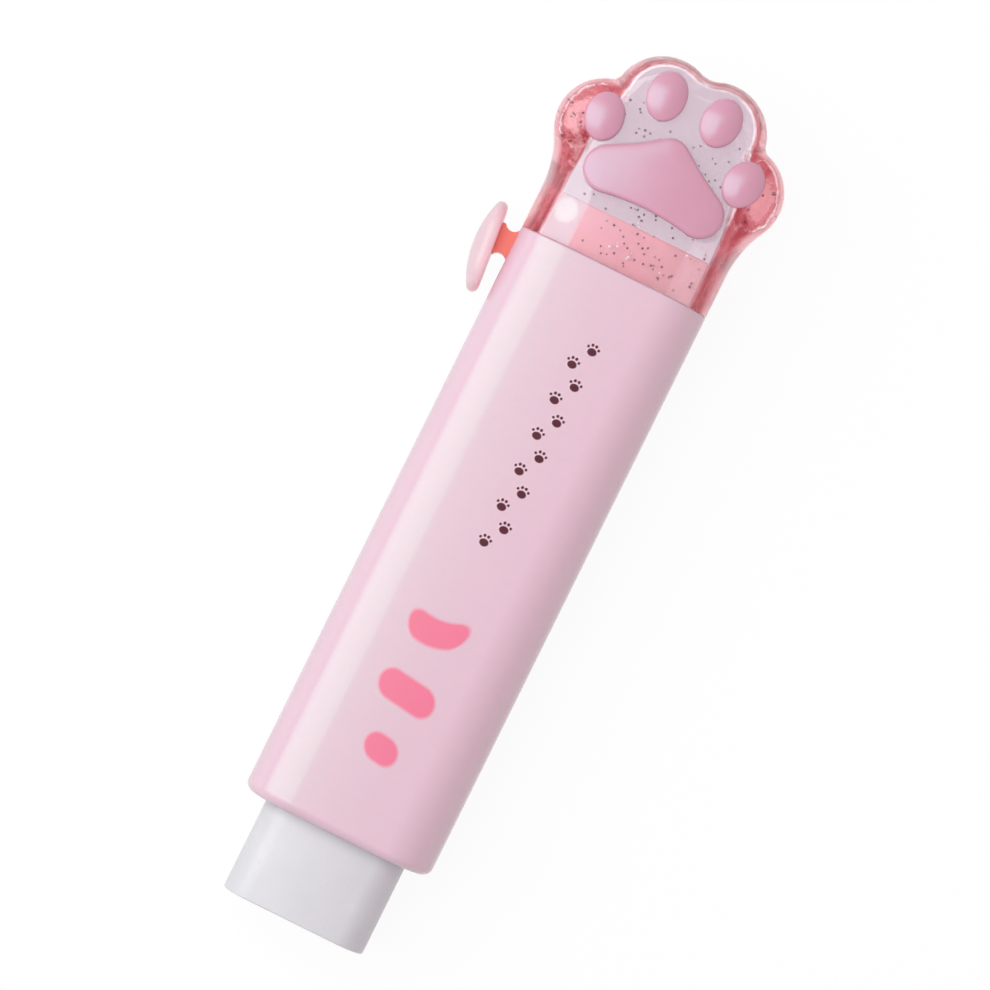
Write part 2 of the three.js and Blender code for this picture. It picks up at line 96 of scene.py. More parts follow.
def select_whole():
    bpy.ops.mesh.select_all(action='SELECT')


def apply_place():
    """Moves a piece's place, turn and size into its mesh."""
    bpy.ops.object.transform_apply(location=True, rotation=True, scale=True)


def deselect_all():
    if bpy.context.object and bpy.context.object.mode != 'OBJECT':
        mode('OBJECT')
    bpy.ops.object.select_all(action='DESELECT')


def activate(piece):
    deselect_all()
    piece.select_set(True)
    bpy.context.view_layer.objects.active = piece


def block(name, low, high):
    """Adds a cube between two corners. Its own place stays at the origin."""
    deselect_all()
    middle = (Vector(low) + Vector(high)) / 2
    size = Vector(high) - Vector(low)
    bpy.ops.mesh.primitive_cube_add(size=1, location=middle * MM, scale=size * MM)
    apply_place()
    piece = bpy.context.object
    piece.name = name
    return piece


def pick(piece, kind, wanted):
    """Enters edit mode with only the wanted vertices, edges or faces selected."""
    activate(piece)
    mode('EDIT')
    bpy.ops.mesh.select_mode(type=kind)
    bpy.ops.mesh.select_all(action='DESELECT')
    form = bmesh.from_edit_mesh(piece.data)
    parts = {'VERT': form.verts, 'EDGE': form.edges, 'FACE': form.faces}[kind]
    count = 0
    for part in parts:
        if wanted(part):
            part.select_set(True)
            count += 1
    form.select_flush_mode()
    bmesh.update_edit_mesh(piece.data)
    return count


def middle_of(part):
    """The middle of an edge or face, in millimetres."""
    if isinstance(part, bmesh.types.BMFace):
        return part.calc_center_median() / MM
    return (part.verts[0].co + part.verts[1].co) / 2 / MM


def runs_along(axis):
    """A test for edges that run along one axis: 0 is X, 1 is Y and 2 is Z."""
    def test(edge):
        way = edge.verts[1].co - edge.verts[0].co
        return abs(way[axis]) > 0.999 * way.length
    return test


def lies_at(axis, *places):
    """A test for edges and faces that lie flat at one of the places along an axis."""
    def test(part):
        return any(all(abs(corner.co[axis] / MM - place) < 0.002 for corner in part.verts)
                   for place in places)
    return test


def round_edges(piece, wanted, radius, segments):
    """Bevels the wanted edges to a radius."""
    count = pick(piece, 'EDGE', wanted)
    bpy.ops.mesh.bevel(offset=radius * MM, offset_type='OFFSET', segments=segments, clamp_overlap=False)
    mode('OBJECT')
    return count


def face_outwards():
    """Turns every face of the mesh in edit mode outwards."""
    select_whole()
    bpy.ops.mesh.normals_make_consistent(inside=False)


def join_or_cut(piece, other, operation):
    """Cuts another solid out of a piece, or joins it on, and leaves one mesh."""
    activate(piece)
    modifier = piece.modifiers.new("boolean", 'BOOLEAN')
    modifier.operation = operation
    modifier.object = other
    modifier.solver = 'MANIFOLD'
    bpy.ops.object.modifier_apply(modifier=modifier.name)
    bpy.data.objects.remove(other)


# %% [markdown]
# A finished piece gets its smooth look in one place. Doubled points are merged first, because a loose
# seam shows as a crease. Faces that meet at a shallow angle are shaded as one surface. The weighted
# normals then let the big flat faces keep their own direction, so that a rounded edge doesn't bend the
# reflections on the flat beside it. Last, the piece is tied to the body that it moves with.

# %% Helper that finishes a piece
def complete(piece, body, stands_for, finish, crease=32):
    activate(piece)
    mode('EDIT')
    select_whole()
    bpy.ops.mesh.remove_doubles(threshold=0.0005 * MM)
    face_outwards()
    mode('OBJECT')
    bpy.ops.object.shade_smooth_by_angle(angle=math.radians(crease))
    modifier = piece.modifiers.new("flat faces", 'WEIGHTED_NORMAL')
    modifier.keep_sharp = True
    modifier.weight = 100
    bpy.ops.object.modifier_apply(modifier=modifier.name)
    piece.data.materials.clear()
    piece.data.materials.append(finish)
    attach(piece, body)
    if stands_for:
        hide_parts(stands_for)
    size = [round(v / MM, 1) for v in piece.dimensions]
    print(piece.name, size, "faces", len(piece.data.polygons))


# %% [markdown]
# Shader sums are easier to read as sums. A small class stands for one number on its way through a
# material, and each sign used on it adds the right Math node. A second class holds a material, and one
# method of it adds every other kind of node.

# %% Numbers and nodes for the finishes
class Flow:
    """A number or colour that flows through a material."""

    def __init__(self, finish, socket):
        self.finish = finish
        self.socket = socket

    def math(self, operation, *others, clamp=False):
        options = {"operation": operation, "use_clamp": clamp}
        inputs = {place: value for place, value in enumerate((self,) + others)}
        return self.finish.node("ShaderNodeMath", options, inputs)

    def __add__(self, other):
        return self.math('ADD', other)

    def __sub__(self, other):
        return self.math('SUBTRACT', other)

    def __rsub__(self, other):
        return (self * -1) + other

    def __mul__(self, other):
        return self.math('MULTIPLY', other)

    def __abs__(self):
        return self.math('ABSOLUTE')

    def least(self, other):
        return self.math('MINIMUM', other)

    def most(self, other):
        return self.math('MAXIMUM', other)

    def clamped(self):
        return self.math('ADD', 0, clamp=True)

    def inside(self, softness):
        """1 where a distance is below zero and 0 above it, with a soft edge."""
        return (0.5 - self * (1 / softness)).clamped()


def far(across, along):
    """How far a place is from zero, from its two parts."""
    return (across * across + along * along).math('SQRT')


class Finish:
    """A material, with its shader's constant values set first."""

    def __init__(self, name, constants):
        self.material = bpy.data.materials.new(name)
        self.material.use_nodes = True
        self.tree = self.material.node_tree
        self.shader = self.tree.nodes["Principled BSDF"]
        for socket, value in constants.items():
            self.shader.inputs[socket].default_value = value

    def node(self, kind, options, inputs, output=0):
        """Adds a node with its options and inputs, and hands back one output."""
        node = self.tree.nodes.new(kind)
        for option, value in options.items():
            setattr(node, option, value)
        for socket, value in inputs.items():
            if isinstance(value, Flow):
                self.tree.links.new(value.socket, node.inputs[socket])
            else:
                node.inputs[socket].default_value = value
        return Flow(self, node.outputs[output])

    def place(self):
        """The place on the piece along X, Y and Z, in millimetres."""
        coordinates = self.node("ShaderNodeTexCoord", {}, {}, "Object")
        scaled = self.node("ShaderNodeVectorMath", {"operation": 'SCALE'}, {0: coordinates, "Scale": 1000})
        return [self.node("ShaderNodeSeparateXYZ", {}, {0: scaled}, axis) for axis in range(3)]

    def noise(self, size, detail=2, stretch=(1, 1, 1)):
        """Cloudy variation from 0 to 1, with patches of about a size in millimetres."""
        coordinates = self.node("ShaderNodeTexCoord", {}, {}, "Object")
        scale = tuple(1000 / size / part for part in stretch)
        placed = self.node("ShaderNodeMapping", {}, {"Vector": coordinates, "Scale": scale})
        return self.node("ShaderNodeTexNoise", {}, {"Vector": placed, "Scale": 1, "Detail": detail})

    def blend(self, share, first, second):
        """One colour where the share is 0, and another where it is 1."""
        return self.node("ShaderNodeMix", {"data_type": 'RGBA'}, {0: share, 6: first, 7: second}, 2)

    def bump(self, height, depth, below=None):
        """Turns a height from 0 to 1 into a relief of a depth in millimetres."""
        inputs = {"Height": height, "Distance": depth * MM, "Strength": 1}
        if below:
            inputs["Normal"] = below
        return self.node("ShaderNodeBump", {}, inputs)

    def feed(self, socket, value):
        self.tree.links.new(value.socket, self.shader.inputs[socket])


def scatter(weight, radius, scale):
    """A shader's constants for light that wanders under the skin, to a scale in millimetres."""
    return {"Subsurface Weight": weight, "Subsurface Radius": radius, "Subsurface Scale": scale * MM}


def paint(red, green, blue):
    """A colour as a screen shows it, from 0 to 255, as the light that it stands for."""
    parts = []
    for value in (red, green, blue):
        share = value / 255
        parts.append(share / 12.92 if share <= 0.04045 else ((share + 0.055) / 1.055) ** 2.4)
    return (*parts, 1)


print("helpers ready")

# %% [markdown]
# ## Pink moulded plastic
#
# The tube is opaque, glossy plastic in a soft pink. Real moulded plastic is never quite even: the gloss
# changes a little, and the surface waves by a few thousandths of a millimetre, which is what breaks the
# edge of a reflection. Both come from noise. The print is drawn with distances: the distance to a shape
# is below zero inside it, so the shape stays sharp at any size, and no picture file is needed. The dark
# ink is half metallic, as a dense print ink shows a slight metal shine. The tube's front is crowned so
# little that only the edge of its highlight tells, so that crown is a bump.

# %% Pink plastic with its print
def distance_to_bean(x, y, centre, half_length, radius, bend, tilt):
    """Distance to a slanted, rounded bar that curves up at both ends."""
    across = x - centre[0]
    along = y - centre[1] - across * across * bend - across * tilt
    beyond = (abs(across) - half_length).most(0)
    return far(beyond, along) - radius


def distance_to_print(across, along):
    """Distance to one small paw print: a round pad with four toes."""
    aside = abs(across)
    pad = far(across * 0.8, along + 0.28) - 0.46
    inner = far(aside - 0.24, along - 0.52) - 0.19
    outer = far(aside - 0.66, along - 0.2) - 0.17
    return pad.least(inner).least(outer)


spots = [
    {"centre": (0.05, -10.4), "half_length": 1.95, "radius": 1.68, "bend": 0.085, "tilt": 0.11},
    {"centre": (0.13, -18.05), "half_length": 1.85, "radius": 1.83, "bend": 0.0, "tilt": -0.13},
    {"centre": (0.33, -25.2), "half_length": 0.5, "radius": 1.66, "bend": 0.0, "tilt": -0.15},
]
crown_radius_of_face = 600
trail = {"x": 1.1, "start": 0.7, "pitch": 2.3, "count": 12, "sway": 0.72}

pink = Finish("pink_gloss_plastic", {
    "IOR": 1.5,
    "Specular IOR Level": 0.6,
    "Specular Tint": (0.25, 1.0, 0.68, 1.0),
    **scatter(0.25, (1.0, 0.35, 0.45), 2.0),
})
x, y, z = pink.place()
spot_distance = distance_to_bean(x, y, **spots[0])
for spot in spots[1:]:
    spot_distance = spot_distance.least(distance_to_bean(x, y, **spot))
step = (y - trail["start"]) * (1 / trail["pitch"])
number = step.math('FLOOR')
side = number.math('FLOORED_MODULO', 2) * 2 - 1
print_x = x - trail["x"] - side * trail["sway"]
print_y = (step - number - 0.5) * trail["pitch"]
print_distance = distance_to_print(print_x, print_y)
before_trail = number * -1 - 0.5
after_trail = number - trail["count"] + 0.5
print_distance = print_distance.most(before_trail).most(after_trail)
on_front = (15.0 - z).inside(0.4)
spot_ink = spot_distance.inside(0.45) * on_front
trail_ink = print_distance.inside(0.1) * on_front
cloud = pink.noise(5, detail=1, stretch=(1, 0.12, 1))
body_colour = pink.blend(cloud, paint(226, 190, 206), paint(227, 193, 208))
with_spots = pink.blend(spot_ink, body_colour, paint(240, 116, 152))
pink.feed("Base Color", pink.blend(trail_ink, with_spots, paint(88, 14, 44)))
ink = spot_ink.most(trail_ink)
pink.feed("Roughness", pink.noise(3, detail=4) * 0.04 + 0.14 + ink * 0.1)
pink.feed("Metallic", trail_ink * 0.5)
crown = pink.bump(x * x * (-0.5 / crown_radius_of_face), 1)
ripple = pink.bump(pink.noise(7, detail=1), 0.003, crown)
pink.feed("Normal", pink.bump(ink, 0.012, ripple))
print("pink plastic:", len(pink.tree.nodes), "nodes,", trail["count"], "prints,", len(spots), "spots")

# %% [markdown]
# ## The sleeve
#
# The sleeve is one moulded tube: a box with very round long edges, a bore for the carriage, a lip at the
# mouth that stops it, and a slot for the slider's stem. It could be swept along a path, but a box with
# bevelled edges shows each real feature as one step, and the bore and slot are cut as a moulder's cores
# would form them.

# %% The sleeve's outside
low, high = corners("sleeve")
sleeve = block("sleeve_shell", low, high)
round_edges(sleeve, runs_along(1), 6, 20)
round_edges(sleeve, lies_at(1, low.y), 1.2, 8)
round_edges(sleeve, lies_at(1, high.y), 0.25, 3)
mouth = low.y
sleeve_top = high.y
middle_z = (low.z + high.z) / 2
half_width = high.x
print("sleeve", round(high.y - low.y, 1), "long, faces", len(sleeve.data.polygons))

# %% [markdown]
# The bore, the mouth and the slot are solids too. Each is a rounded block, as the sleeve is, and is cut
# away. The mouth is a little wider at its very end, so that the rubber slides in without catching.

# %% Bore, mouth and slot
lip_top = mouth + 3.5
bore_half = (10.35, 6.2)
mouth_half = (9.35, 5.4)


def rounded_bar(name, half, from_y, to_y, radius, segments=12):
    """A bar along the eraser's middle line with rounded long edges."""
    bar = block(name, (-half[0], from_y, middle_z - half[1]), (half[0], to_y, middle_z + half[1]))
    round_edges(bar, runs_along(1), radius, segments)
    return bar


bore = rounded_bar("bore", bore_half, lip_top, sleeve_top + 1, 4.3)
join_or_cut(sleeve, bore, 'DIFFERENCE')
opening = rounded_bar("opening", mouth_half, mouth - 1, lip_top + 1, 3.7)
join_or_cut(sleeve, opening, 'DIFFERENCE')
slot_end = -20.4 - 0.3
slot_half = 1.7
slot = block("slot", (-half_width - 1, slot_end - slot_half, middle_z - slot_half),
             (-bore_half[0] + 1, sleeve_top + 1, middle_z + slot_half))
round_edges(slot, lambda edge: runs_along(0)(edge) and middle_of(edge).y < 0, slot_half, 8)
join_or_cut(sleeve, slot, 'DIFFERENCE')
low_slot = slot_end - slot_half
print("slot from", low_slot, "to", sleeve_top)


def at_mouth_rim(edge):
    spot = middle_of(edge)
    return lies_at(1, mouth)(edge) and abs(spot.x) < mouth_half[0] + 0.01 and \
        abs(spot.z - middle_z) < mouth_half[1] + 0.01


def at_slot_rim(edge):
    """The slot's edge on the sleeve's outer side."""
    spot = middle_of(edge)
    flat = abs(spot.x + half_width) < 0.01 and abs(spot.z - middle_z) < slot_half + 0.01
    return flat and low_slot - 0.01 < spot.y < sleeve_top - 0.4


print("mouth rim edges", round_edges(sleeve, at_mouth_rim, 0.45, 4))
print("slot rim edges", round_edges(sleeve, at_slot_rim, 0.18, 3))
complete(sleeve, "holder", "sleeve", pink.material)

# %% [markdown]
# ## White vinyl
#
# The rubber is soft vinyl: almost white, matt, and slightly see-through at its edges, which subsurface
# scattering gives. Fresh vinyl has a fine skin with faint clouds and a few specks of dust.

# %% White vinyl
vinyl = Finish("white_vinyl", {
    "IOR": 1.45,
    **scatter(0.25, (1.0, 0.95, 1.0), 1.5),
})
clouds = vinyl.noise(4, detail=5)
dust = (vinyl.noise(0.35, detail=0) - 0.76).math('MULTIPLY', 18, clamp=True)
skin = vinyl.blend(clouds, paint(207, 206, 211), paint(217, 216, 221))
vinyl.feed("Base Color", vinyl.blend(dust * 0.1, skin, paint(150, 140, 140)))
vinyl.feed("Roughness", vinyl.noise(1.5, detail=3) * 0.08 + 0.27)
across = vinyl.place()[0]
crown = vinyl.bump(across * across * (-0.5 / 50), 1)
vinyl.feed("Normal", vinyl.bump(vinyl.noise(0.5, detail=4), 0.012, crown))
print("vinyl:", len(vinyl.tree.nodes), "nodes")

# %% [markdown]
# The stick is cut from a long moulded bar, so its long edges are round and its cut end is nearly sharp.
# A block with two sizes of bevel is just that.

# %% The rubber stick
low, high = corners("eraser")
rubber = block("rubber_stick", low, high)
round_edges(rubber, runs_along(1), 3.4, 16)
round_edges(rubber, lies_at(1, low.y, high.y), 0.2, 4)
complete(rubber, "feed", "eraser", vinyl.material)

# %% [markdown]
# ## Salmon plastic
#
# The carriage shows only at the stem, and a little of it through the slot. It is a stronger, warmer
# colour than the tube. Noise gives it the look of a moulding. A little emission is painted light: it
# keeps the stem bright in the shade between the tube and the slider.

# %% Salmon plastic
salmon = Finish("salmon_plastic", {
    "IOR": 1.5,
    **scatter(0.2, (1.0, 0.3, 0.25), 1.0),
    "Emission Strength": 0.1,
})
warmth = salmon.noise(4)
salmon.feed("Base Color", salmon.blend(warmth, paint(242, 113, 98), paint(246, 122, 108)))
# Painted light: the whole carriage glows faintly, which brightens the stem in the shade of tube and slider.
salmon.feed("Emission Color", salmon.blend(warmth, paint(240, 100, 88), paint(245, 110, 98)))
salmon.feed("Roughness", salmon.noise(2, detail=3) * 0.12 + 0.26)
salmon.feed("Normal", salmon.bump(salmon.noise(3, detail=1), 0.004))
print("salmon:", len(salmon.tree.nodes), "nodes")

# %% [markdown]
# ## The carriage
#
# One moulding holds the stick, springs and carries the slider: a cup, an arm freed by slits, and a stem.
# The cup is a rounded bar with a bore. The stem has a waist, so its outline is drawn from a single point
# by extruding it along the straight parts and spinning it round the curved ones.

# %% Helpers that draw an outline
def one_point(name, x, y, z=0):
    """Starts a piece as a single vertex, in edit mode."""
    deselect_all()
    bpy.ops.mesh.primitive_plane_add(size=1 * MM)
    piece = bpy.context.object
    piece.name = name
    mode('EDIT')
    bpy.ops.mesh.select_mode(type='VERT')
    select_whole()
    bpy.ops.mesh.merge(type='CENTER')
    bpy.ops.transform.translate(value=(x * MM, y * MM, z * MM))
    return piece


def end_point():
    """Where the selected end of the outline is, in millimetres."""
    form = bmesh.from_edit_mesh(bpy.context.object.data)
    return next(point.co / MM for point in form.verts if point.select)


def line_to(x, y, steps=1):
    """Extrudes the outline's end along a straight line."""
    way = Vector((x, y)) - end_point().xy
    for step in range(steps):
        move = (way.x / steps * MM, way.y / steps * MM, 0)
        bpy.ops.mesh.extrude_vertices_move(TRANSFORM_OT_translate={"value": move})


def turn_about(centre, degrees, fineness=4):
    """Spins the outline's end round a centre, counter-clockwise where the degrees are positive."""
    steps = max(2, math.ceil(abs(degrees) / fineness))
    axis_point = (centre[0] * MM, centre[1] * MM, end_point().z * MM)
    bpy.ops.mesh.spin(steps=steps, angle=-math.radians(degrees), center=axis_point, axis=(0, 0, 1))


def fill_outline():
    """Closes an outline and fills it with one face."""
    select_whole()
    bpy.ops.mesh.remove_doubles(threshold=0.001 * MM)
    select_whole()
    bpy.ops.mesh.edge_face_add()


def raise_face(height):
    bpy.ops.mesh.extrude_region_move(TRANSFORM_OT_translate={"value": (0, 0, height * MM)})


def close_and_raise(height, layers=1):
    """Fills an outline and extrudes its face upwards, in one or more layers."""
    fill_outline()
    for layer in range(layers):
        raise_face(height / layers)
    face_outwards()
    mode('OBJECT')


print("outline helpers ready")

# %% The carriage's cup and arm
cup_top = 31.2
cup_bottom = 19.2
cup_half = (10.15, 6.0)
stick_half = (9.2, 5.25)
carriage = rounded_bar("slide_carriage", cup_half, cup_bottom, cup_top, 4.1)
round_edges(carriage, lies_at(1, cup_bottom, cup_top), 0.4, 3)
cup_bore = rounded_bar("cup_bore", stick_half, cup_bottom - 1, cup_top - 1.2, 3.55)
join_or_cut(carriage, cup_bore, 'DIFFERENCE')
for side in (-1, 1):
    near, away = sorted((side * 3.2, side * 4.0))
    slit = block("slit", (-12, cup_top - 7, middle_z + near), (-8.4, cup_top + 1, middle_z + away))
    join_or_cut(carriage, slit, 'DIFFERENCE')
floor_slit = block("slit", (-9.2, cup_top - 2.2, middle_z - 4.0), (-8.4, cup_top + 1, middle_z + 4.0))
join_or_cut(carriage, floor_slit, 'DIFFERENCE')
stem_top = 36.2
stem_bottom = 32.75
arm = block("arm", (-10.15, cup_top - 1.2, middle_z - 3.2), (-9.2, stem_top, middle_z + 3.2))
round_edges(arm, lambda edge: runs_along(0)(edge) and middle_of(edge).y > 33, 0.8, 4)
join_or_cut(carriage, arm, 'UNION')
print("cup and arm, faces", len(carriage.data.polygons))

# %% The carriage's stem
gap = 1.75
flare = 0.45
waist_sag = 0.55
gap_start = -half_width
gap_end = gap_start - gap
waist_radius = ((gap / 2) ** 2 + waist_sag ** 2) / (2 * waist_sag)
waist_turn = 2 * math.degrees(math.asin(gap / 2 / waist_radius))
waist_x = (gap_start + gap_end) / 2
slider_length = 11.2
slider_y = sleeve_top + 1.85 - slider_length / 2
slider_tilt = 0.097


def slider_face(y):
    """Where the slider's inner face is at a height, a hair's breadth away."""
    return gap_end - 0.11 - (y - slider_y) * math.tan(slider_tilt)


stem = one_point("stem", -9.7, stem_top, middle_z - 1.5)
line_to(gap_start, stem_top)
turn_about((waist_x, stem_top + waist_radius - waist_sag), -waist_turn, 12)
line_to(slider_face(stem_top), stem_top)
line_to(slider_face(stem_bottom - flare), stem_bottom - flare)
line_to(gap_end, stem_bottom - flare)
turn_about((waist_x, stem_bottom - flare - waist_radius + waist_sag), -waist_turn, 12)
line_to(-9.7, stem_bottom - flare)
close_and_raise(3)
tenon_middle = (stem_top + stem_bottom) / 2
tenon = block("tenon", (gap_end - 1.2, tenon_middle - 1.1, middle_z - 0.95),
              (gap_end + 0.5, tenon_middle + 1.1, middle_z + 0.95))
join_or_cut(stem, tenon, 'UNION')
join_or_cut(carriage, stem, 'UNION')
complete(carriage, "feed", "carriage", salmon.material)

# %% [markdown]
# ## The thumb slider
#
# The slider is a pebble: crowned outside for the thumb, nearly flat inside. Its plan is a rectangle with
# round corners. The plate is made lying flat, then its top face is raised and shrunk in small steps
# along an arc, which is how a lens shape grows from a flat plan. It is stood up at the end, and its turn
# is applied, so that its place is in its mesh.

# %% The thumb slider
slider_width = 8.8
plan_corner = 3.6
rim_radius = 0.75
crown_radius = 13.2


def lens_profile():
    """Shares of the plan and heights, from the inner face round the rim to the top of the crown."""
    half = slider_length / 2
    rim_place = half - rim_radius
    crown_centre = -math.sqrt((crown_radius - rim_radius) ** 2 - rim_place ** 2)
    rim_angle = math.atan2(-crown_centre, rim_place)
    steps = []
    for k in range(9):
        angle = -math.pi / 2 + (rim_angle + math.pi / 2) * k / 8
        steps.append(((rim_place + rim_radius * math.cos(angle)) / half, rim_radius * math.sin(angle)))
    for k in range(1, 12):
        angle = rim_angle + (math.pi / 2 - rim_angle) * k / 12
        steps.append((crown_radius * math.cos(angle) / half, crown_centre + crown_radius * math.sin(angle)))
    return steps


def grow_through(piece, profile, centre):
    """Extrudes the top face through shares of the plan and heights, each measured from the first."""
    for (share, height), (next_share, next_height) in zip(profile, profile[1:]):
        raise_face(next_height - height)
        ratio = next_share / share
        bpy.ops.transform.resize(value=(ratio, ratio, 1), center_override=[v * MM for v in centre])
    mode('OBJECT')


profile = lens_profile()
first_share, first_height = profile[0]
half_plan = (slider_length / 2 * first_share, slider_width / 2 * first_share)
slider = block("thumb_slider", (-half_plan[0], -half_plan[1], first_height - 0.2),
               (half_plan[0], half_plan[1], first_height))
round_edges(slider, runs_along(2), plan_corner * first_share, 10)
pick(slider, 'VERT', lambda point: point.co.z / MM < first_height - 0.1)
bpy.ops.mesh.delete(type='VERT')
bpy.ops.mesh.select_mode(type='FACE')
select_whole()
grow_through(slider, profile, (0, 0, 0))
print("slider plate, faces", len(slider.data.polygons))

# %% The slider's socket and place
stem_from_middle = tenon_middle - slider_y
socket = block("socket", (stem_from_middle - 1.35, -1.2, -rim_radius - 1),
               (stem_from_middle + 1.35, 1.2, 1.2 - rim_radius + 0.25))
activate(slider)
mode('EDIT')
face_outwards()
mode('OBJECT')
join_or_cut(slider, socket, 'DIFFERENCE')
outwards = Matrix(((0, 0, -1, 0), (1, 0, 0, 0), (0, -1, 0, 0), (0, 0, 0, 1)))
slider_x = -half_width - gap - 0.15 - rim_radius
tilt = Matrix.Rotation(slider_tilt, 4, 'Z')
slider.matrix_world = Matrix.Translation(Vector((slider_x, slider_y, middle_z)) * MM) @ tilt @ outwards
activate(slider)
apply_place()
slider_pink = Finish("pink_slider_plastic", {
    "IOR": 1.5,
    "Specular IOR Level": 0.35,
    "Specular Tint": (0.5, 1.0, 0.8, 1.0),
    **scatter(0.5, (1.0, 0.5, 0.55), 2.5),
    "Emission Strength": 0.25,
})
x, y = slider_pink.place()[:2]
# Painted light: the slider glows faintly all over, and more near its inner side, which faces the tube and
# lies in its shade.
inner_plane = gap_end - 0.15 - rim_radius - (y - slider_y) * math.tan(slider_tilt)
inner_side_light = (inner_plane - x).inside(0.8)
shade = slider_pink.noise(6, detail=3)
slider_pink.feed("Base Color", slider_pink.blend(shade, paint(215, 186, 195), paint(219, 190, 199)))
glow = slider_pink.blend(inner_side_light, paint(130, 100, 108), paint(238, 180, 184))
slider_pink.feed("Emission Color", glow)
slider_pink.feed("Roughness", slider_pink.noise(2, detail=4) * 0.1 + 0.26)
slider_pink.feed("Normal", slider_pink.bump(slider_pink.noise(4, detail=1), 0.004))
complete(slider, "feed", "slider_cap", slider_pink.material)

# %% [markdown]
# ## The clear paw
#
# The paw is one hollow moulding in clear, pink-tinted plastic. Seen from the front it is a chain of
# circles: two side toes, two top toes, and the small creases between them. Each circle touches the next,
# so the outline never kinks. Only the right half is drawn, with the same two moves as the stem's, and a
# mirror makes the left. A centre for each crease follows from the two circles that it touches.

# %% Circles of the paw's outline
paw_y = sleeve_top + 0.15
wrist_round = 12.2
toe_overhang = 2.27
side_toe_radius = 5.8
side_toe = (half_width + toe_overhang - side_toe_radius, 14.25, side_toe_radius)
top_toe = (3.4, 19.25, 6.15)


def touching(first, second, radius):
    """The circle that touches two others from outside, on the right of the way between them."""
    apart = math.hypot(second[0] - first[0], second[1] - first[1])
    from_first, from_second = first[2] + radius, second[2] + radius
    along = (from_first ** 2 - from_second ** 2 + apart ** 2) / (2 * apart)
    aside = math.sqrt(from_first ** 2 - along ** 2)
    ux, uy = (second[0] - first[0]) / apart, (second[1] - first[1]) / apart
    return (first[0] + along * ux + aside * uy, first[1] + along * uy - aside * ux, radius)


def bearing(start, end):
    return math.degrees(math.atan2(end[1] - start[1], end[0] - start[0]))


def other_side(circle):
    return (-circle[0], circle[1], circle[2])


def follow(circles, hollow, last_angle, fineness=4):
    """Draws the outline's way round touching circles, left round a bulge and right round a hollow."""
    angle = bearing(circles[0], (end_point().x, end_point().y - paw_y))
    for number, circle in enumerate(circles):
        if number + 1 < len(circles):
            end = bearing(circle, circles[number + 1])
        else:
            end = last_angle
        turn = (end - angle) % 360
        if hollow[number]:
            turn -= 360
        turn_about((circle[0], circle[1] + paw_y), turn, fineness)
        angle = end + 180


middle_crease_radius = 3.05
side_crease = touching(side_toe, top_toe, 1.25)
middle_crease = touching(top_toe, other_side(top_toe), middle_crease_radius)
rise = math.sqrt((side_toe[2] + wrist_round) ** 2 - (half_width + wrist_round - side_toe[0]) ** 2)
wrist_crease = (half_width + wrist_round, side_toe[1] - rise, wrist_round)
print("wrist crease", [round(v, 2) for v in wrist_crease])
print("middle crease", [round(v, 2) for v in middle_crease])

# %% The paw's solid outside
def mirror_outline(piece):
    """Copies the right half of an outline to the left."""
    mode('OBJECT')
    modifier = piece.modifiers.new("mirror", 'MIRROR')
    modifier.merge_threshold = 0.01 * MM
    bpy.ops.object.modifier_apply(modifier=modifier.name)
    mode('EDIT')


paw = one_point("paw_clear", half_width, paw_y)
line_to(half_width, paw_y + wrist_crease[1], steps=4)
follow([wrist_crease, side_toe, side_crease, top_toe, middle_crease],
       [True, False, True, False, True], -90)
mirror_outline(paw)
print("outline points", len(bmesh.from_edit_mesh(paw.data).verts))

# %% [markdown]
# The paw's edges are as round as the tube's at the wrist, and grow tighter round the toes. A bevel folds
# over itself where its width changes this fast. So the outline is raised to a stack of thin layers, and
# each point is then moved inwards and to its own height on a quarter circle, whose radius depends on how
# far up the paw the point is.

# %% A slab with edges that grow tighter
def smooth_step(value):
    share = min(1, max(0, value))
    return share * share * (3 - 2 * share)


def round_over(piece, half_thickness, radius_at, steps):
    """Raises an outline to a slab with rounded edges. It stays flat at its open, low end."""
    layers = 2 * steps + 1
    close_and_raise(layers, layers)
    form = bmesh.new()
    form.from_mesh(piece.data)
    form.normal_update()
    low_end = min(point.co.y for point in form.verts)
    for point in form.verts:
        layer = round(point.co.z / MM)
        side = 1 if layer > steps else -1
        angle = (layer - steps - 1 if side > 0 else steps - layer) / steps * math.pi / 2
        radius = radius_at(point.co.y / MM)
        outwards = point.normal.copy()
        outwards.z = 0
        if point.co.y < low_end + 0.001 * MM:
            outwards.y = 0
        point.co -= outwards.normalized() * radius * (1 - math.cos(angle)) * MM
        point.co.z = (middle_z + side * (half_thickness - radius * (1 - math.sin(angle)))) * MM
    form.to_mesh(piece.data)
    form.free()
    print(piece.name, [round(v / MM, 1) for v in piece.dimensions], "faces", len(piece.data.polygons))


wrist_edge, toe_edge = 6, 2.6


def paw_edge(y):
    """The radius of the paw's edge at a place along it."""
    return wrist_edge + (toe_edge - wrist_edge) * smooth_step((y - paw_y - 5) / 8)


round_over(paw, middle_z, paw_edge, 12)

# %% [markdown]
# The hollow is a second, smaller slab with drafted sides, so that the mould's core can be drawn out. Its
# sides lean in more above a knee that the side toes' pads hide, and its top keeps an even wall under the
# two top toes. It is cut out of the paw and is open at the wrist. The paw's low end is then moved a
# little nearer to the tube, because the real seam is too fine to show a dark gap.

